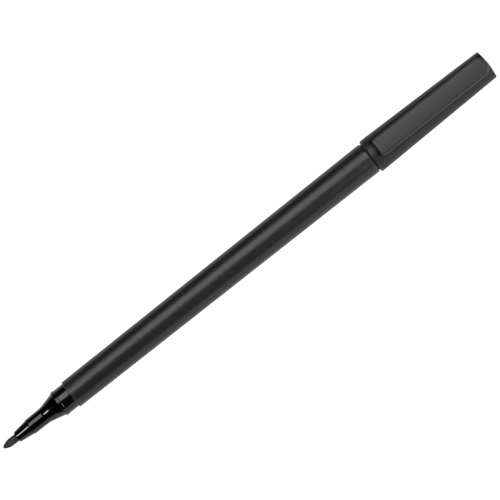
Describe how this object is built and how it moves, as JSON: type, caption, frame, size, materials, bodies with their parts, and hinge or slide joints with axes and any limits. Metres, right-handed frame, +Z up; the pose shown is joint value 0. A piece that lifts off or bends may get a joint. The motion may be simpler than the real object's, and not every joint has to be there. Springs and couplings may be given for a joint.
{
  "type": "permanent marker",
  "caption": "Slim permanent marker with a bullet nib, a stepped nose, a tapered barrel and a clip cap that pulls off the back end, where it is posted.",
  "frame": {"origin": "Under the middle of the marker's length, on the surface that it lies on.", "axes": "+X along the pen's axis towards the cap's closed end, with the writing point towards -X; +Z up, out through the pocket clip."},
  "size_m": [0.1604, 0.0096, 0.0117],
  "materials": {
    "barrel_plastic": "fine matte moulded polypropylene, black",
    "nose_plastic": "polished moulded polypropylene, black",
    "nib_fibre": "bonded acrylic fibre stained with black ink",
    "reservoir_fibre": "polyester fibre bundle soaked with black ink",
    "film": "thin clear polypropylene film",
    "plug_plastic": "moulded polypropylene, black",
    "cap_plastic": "fine matte moulded polypropylene, black",
    "inner_cap_plastic": "soft low-density polyethylene, black",
    "clip_plastic": "smooth satin moulded polypropylene, black"
  },
  "bodies": {
    "pen": {"barrel": "barrel_plastic", "nose_section": "nose_plastic", "nib": "nib_fibre", "ink_reservoir": "reservoir_fibre", "reservoir_film": "film", "end_plug": "plug_plastic"},
    "cap": {"cap_shell": "cap_plastic", "inner_cap": "inner_cap_plastic"},
    "clip": {"pocket_clip": "clip_plastic"}
  },
  "joints": [
    {"name": "cap_pull", "type": "slide", "parent": "pen", "child": "cap", "axis": [1, 0, 0], "range_m": [0, 0.02]},
    {"name": "clip_flex", "type": "hinge", "parent": "cap", "child": "clip", "pos_m": [0.07975, 0, 0.00984], "axis": [0, 1, 0], "range_deg": [0, 3], "stiffness_Nm_per_rad": 0.4}
  ]
}
